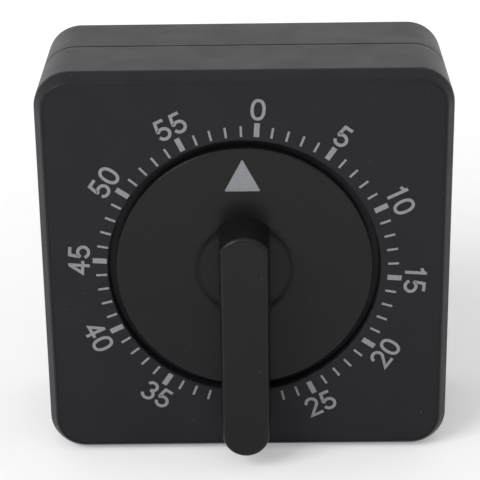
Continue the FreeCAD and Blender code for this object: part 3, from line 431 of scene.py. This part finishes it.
def worked_metal(name, dark, light, roughness, stretch):
    """Metal with fine lines from rolling or turning, and uneven gloss."""
    material, shader = new_material(name)
    place = texture_place(material, stretch)
    lines = noise(material, place, METAL_LINE_SIZE, detail=4.0, roughness=0.65)
    stain = noise(material, texture_place(material), STAIN_SIZE, detail=3.0)
    link(material, shades(material, stain, dark, light), shader.inputs["Base Color"])
    gloss = remap(material, lines, roughness - 0.08, roughness + 0.1)
    link(material, gloss, shader.inputs["Roughness"])
    link(material, bump(material, lines, METAL_RELIEF), shader.inputs["Normal"])
    shader.inputs["Metallic"].default_value = 1.0
    return material


def printed_ink(name, dark, light):
    """Pad-printed ink that is thin in places."""
    material, shader = new_material(name)
    coverage = noise(material, texture_place(material), INK_GRAIN_SIZE, detail=4.0, roughness=0.6)
    link(material, shades(material, coverage, dark, light), shader.inputs["Base Color"])
    link(material, bump(material, coverage, INK_RELIEF), shader.inputs["Normal"])
    shader.inputs["Roughness"].default_value = 0.6
    shader.inputs["Specular IOR Level"].default_value = 0.3
    return material


FINISHES = {
    "case_plastic": moulded_plastic(
        "black_case_plastic",
        dark=(0.0120, 0.0114, 0.0138),
        light=(0.0145, 0.0138, 0.0166),
        roughness=0.4,
        specular=0.17,
        grain=0.3,
        relief=0.012,
        edge=0.6,
    ),
    "dial_plastic": moulded_plastic(
        "black_dial_plastic",
        dark=(0.0080, 0.0079, 0.0080),
        light=(0.0096, 0.0095, 0.0096),
        roughness=0.28,
        specular=0.19,
        grain=0.22,
        relief=0.004,
        edge=0.12,
    ),
    "screw_steel": worked_metal(
        "zinc_screw_steel", (0.5, 0.5, 0.49), (0.57, 0.57, 0.56), 0.3, (1, 0.2, 1)
    ),
    "plate_steel": worked_metal(
        "rolled_plate_steel", (0.46, 0.46, 0.45), (0.52, 0.52, 0.51), 0.34, (0.06, 1, 1)
    ),
    "arbor_steel": worked_metal(
        "turned_arbor_steel", (0.52, 0.52, 0.52), (0.6, 0.6, 0.6), 0.22, (0.1, 1, 0.1)
    ),
    "spring_steel": worked_metal(
        "blued_spring_steel", (0.06, 0.07, 0.11), (0.13, 0.14, 0.19), 0.3, (1, 0.15, 1)
    ),
    "bell_steel": worked_metal(
        "nickelled_bell_steel", (0.56, 0.55, 0.51), (0.61, 0.6, 0.56), 0.16, (1, 0.1, 1)
    ),
    "brass": worked_metal(
        "stamped_brass", (0.6, 0.42, 0.16), (0.7, 0.51, 0.22), 0.3, (0.12, 1, 1)
    ),
}
INK = printed_ink("grey_print", (0.215, 0.223, 0.230), (0.3, 0.308, 0.318))

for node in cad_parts.values():
    for material_slot in node.material_slots:
        material_slot.material = FINISHES[material_slot.material.name]


# Printed pieces

ticks = Prints()
add_ticks(ticks)
ticks.make("scale_ticks", "case", INK)

numerals = Prints()
add_numerals(numerals)
numerals.make("scale_numerals", "case", INK)

mark = Prints()
mark.add_plate(rounded_corners(
    [
        (MARK_MIDDLE - MARK_WIDTH / 2, MARK_BASE),
        (MARK_MIDDLE + MARK_WIDTH / 2, MARK_BASE),
        (MARK_MIDDLE, MARK_TIP),
    ],
    MARK_ROUND,
))
mark.make("dial_mark", "dial", INK)


# Floor, light and camera, with lengths in metres

FLOOR_HALF_SIZE = 2.5
FLOOR_SHADES = ((0.8, 0.8, 0.8), (0.82, 0.82, 0.82))

# How much whiter than lit the floor looks, near the object and far from it. The smaller lift near the
# object is a painted shade around it.
FLOOR_LIFT = (0.28, 0.46)
FLOOR_LIFT_REACH = (0.06, 0.25)

# The world as a light, as a share of the white that is seen
WORLD_LIGHT = 0.6
WORLD_FRONT = 0.3
WORLD_FRONT_REACH = (-0.95, -0.15)

FACE_MIDDLE = (0, 0, 0.034)


def seen(owner):
    """1 where the camera, a reflection or a clear body looks, and 0 where the surface only lights."""
    paths = add_node(owner, "ShaderNodeLightPath")
    looks = combine(owner, "MAXIMUM", paths.outputs["Is Camera Ray"], paths.outputs["Is Glossy Ray"])
    return combine(owner, "MAXIMUM", looks, paths.outputs["Is Transmission Ray"])


def pale_floor():
    """A matt floor that looks white far from the object and keeps its shadow, with a painted shade:
    it glows less near the object.
    """
    size = FLOOR_HALF_SIZE
    mesh = bpy.data.meshes.new("floor")
    corners = [(-size, -size, 0), (size, -size, 0), (size, size, 0), (-size, size, 0)]
    mesh.from_pydata(corners, [], [(0, 1, 2, 3)])
    floor = bpy.data.objects.new("floor", mesh)
    bpy.context.scene.collection.objects.link(floor)
    material, shader = new_material("pale_floor")
    place = texture_place(material)
    speckle = noise(material, place, FLOOR_SPECKLE_SIZE)
    link(material, shades(material, speckle, *FLOOR_SHADES), shader.inputs["Base Color"])
    shader.inputs["Roughness"].default_value = 0.9
    shader.inputs["Specular IOR Level"].default_value = 0.0
    distance = add_node(material, "ShaderNodeVectorMath")
    distance.operation = "LENGTH"
    link(material, place, distance.inputs[0])
    # The glow grows with the distance from the object, so it paints shade on the floor near the
    # object, in reflections too
    lift = remap(material, distance.outputs["Value"], *FLOOR_LIFT, *FLOOR_LIFT_REACH)
    strength = combine(material, "MULTIPLY", lift, seen(material))
    shader.inputs["Emission Color"].default_value = (1, 1, 1, 1)
    link(material, strength, shader.inputs["Emission Strength"])
    mesh.materials.append(material)


def studio_world():
    """White all round, and dimmer in front of the object for light and reflections."""
    world = bpy.data.worlds.new("studio")
    bpy.context.scene.world = world
    world.use_nodes = True
    background = world.node_tree.nodes["Background"]
    background.inputs["Color"].default_value = (1, 1, 1, 1)
    heading = add_node(world, "ShaderNodeTexCoord")
    parts = add_node(world, "ShaderNodeSeparateXYZ")
    link(world, heading.outputs["Generated"], parts.inputs["Vector"])
    tone = remap(world, parts.outputs["Y"], WORLD_FRONT, 1.0, *WORLD_FRONT_REACH)
    level = remap(world, seen(world), WORLD_LIGHT, 1.0, 0.0, 1.0)
    light = combine(world, "MULTIPLY", tone, level)
    paths = add_node(world, "ShaderNodeLightPath")
    strength = combine(world, "MAXIMUM", light, paths.outputs["Is Camera Ray"])
    link(world, strength, background.inputs["Strength"])


def softbox(name, place, aim, width, height, watts, colour=(1, 1, 1)):
    lamp = bpy.data.lights.new(name, "AREA")
    lamp.shape = "RECTANGLE"
    lamp.size = width
    lamp.size_y = height
    lamp.energy = watts
    lamp.color = colour
    holder = bpy.data.objects.new(name, lamp)
    holder.location = place
    look = Vector(aim) - Vector(place)
    holder.rotation_euler = look.to_track_quat("-Z", "Y").to_euler()
    holder.visible_camera = False
    bpy.context.scene.collection.objects.link(holder)


pale_floor()
studio_world()
softbox("key_softbox", (-0.75, -0.75, 0.8), FACE_MIDDLE, 0.6, 0.6, 9.0, (1.0, 0.98, 1.02))
softbox("table_softbox", (0.0, -0.2, 0.16), (0.0, -0.12, 0.0), 0.24, 0.12, 0.12)

camera_data = bpy.data.cameras.new("camera")
camera_data.lens = CAMERA_LENS
camera_data.sensor_width = CAMERA_SENSOR
camera = bpy.data.objects.new("camera", camera_data)
camera.location = [value * MM for value in CAMERA_PLACE]
camera.rotation_euler = Euler([math.radians(value) for value in CAMERA_TURN])
bpy.context.scene.collection.objects.link(camera)
bpy.context.scene.camera = camera
bpy.context.scene.view_settings.view_transform = "Standard"
